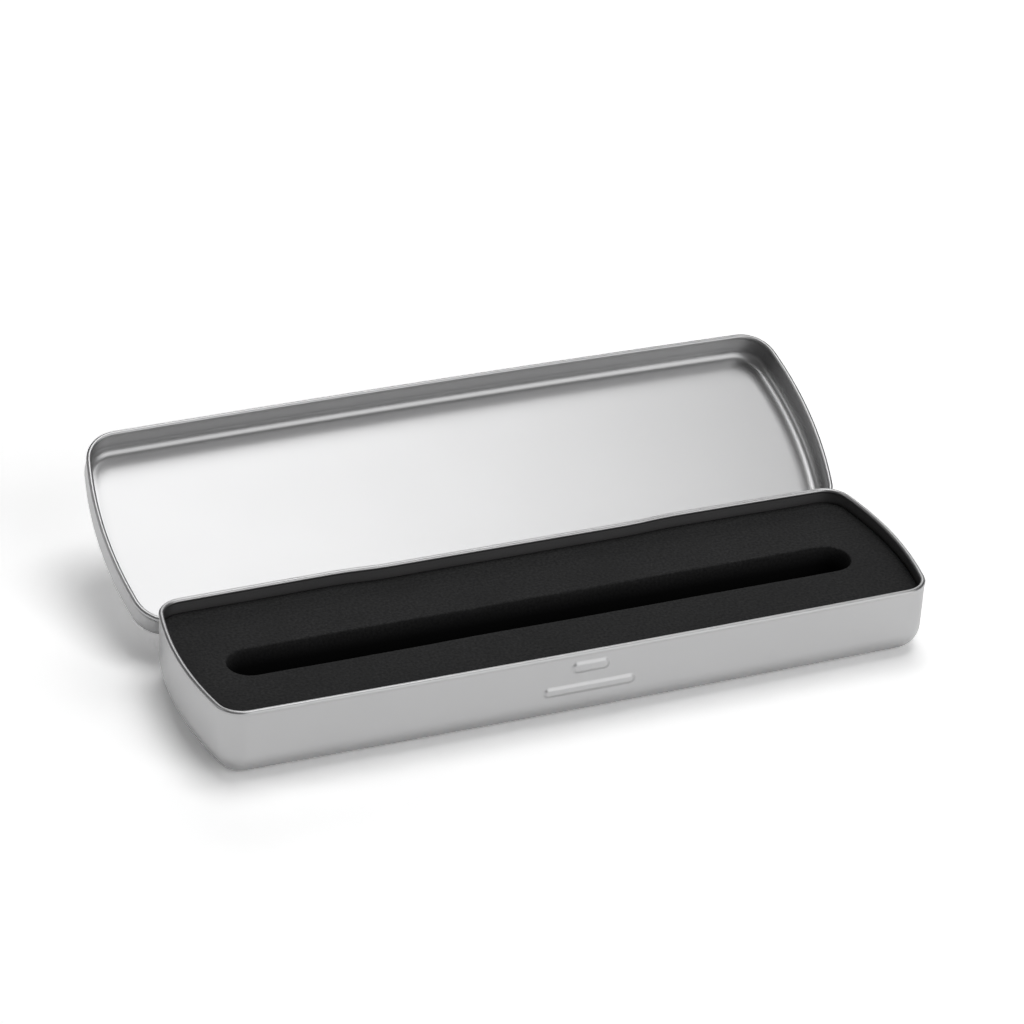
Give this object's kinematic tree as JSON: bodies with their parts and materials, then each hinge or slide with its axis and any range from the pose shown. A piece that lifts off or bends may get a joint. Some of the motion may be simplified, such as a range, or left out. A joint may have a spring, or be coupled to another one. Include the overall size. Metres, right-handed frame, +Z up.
{
  "type": "pen tin",
  "caption": "Slim hinged metal tin standing open, with rolled rims, pressed front ridges and a die-cut foam insert that holds a pen in a round-ended slot.",
  "frame": {"origin": "middle of the base tray's flat underside", "axes": "+X along the tin to the right as seen from the front, +Y from the front wall to the hinge, +Z up"},
  "size_m": [0.179, 0.1004, 0.0348],
  "materials": {
    "tin": "satin silver tinplate",
    "hinge_steel": "plain steel",
    "foam": "matte black foam"
  },
  "bodies": {
    "base": {"base_tray": "tin", "base_hinge_leaf": "hinge_steel", "hinge_pin": "hinge_steel", "foam_backing": "foam", "foam_insert": "foam"},
    "lid": {"lid_tray": "tin", "lid_hinge_leaf": "hinge_steel"}
  },
  "joints": [
    {"name": "lid_hinge", "type": "hinge", "parent": "base", "child": "lid", "pos_m": [0, 0.02575, 0.0112], "axis": [-1, 0, 0], "range_deg": [-153.5, 0]}
  ]
}
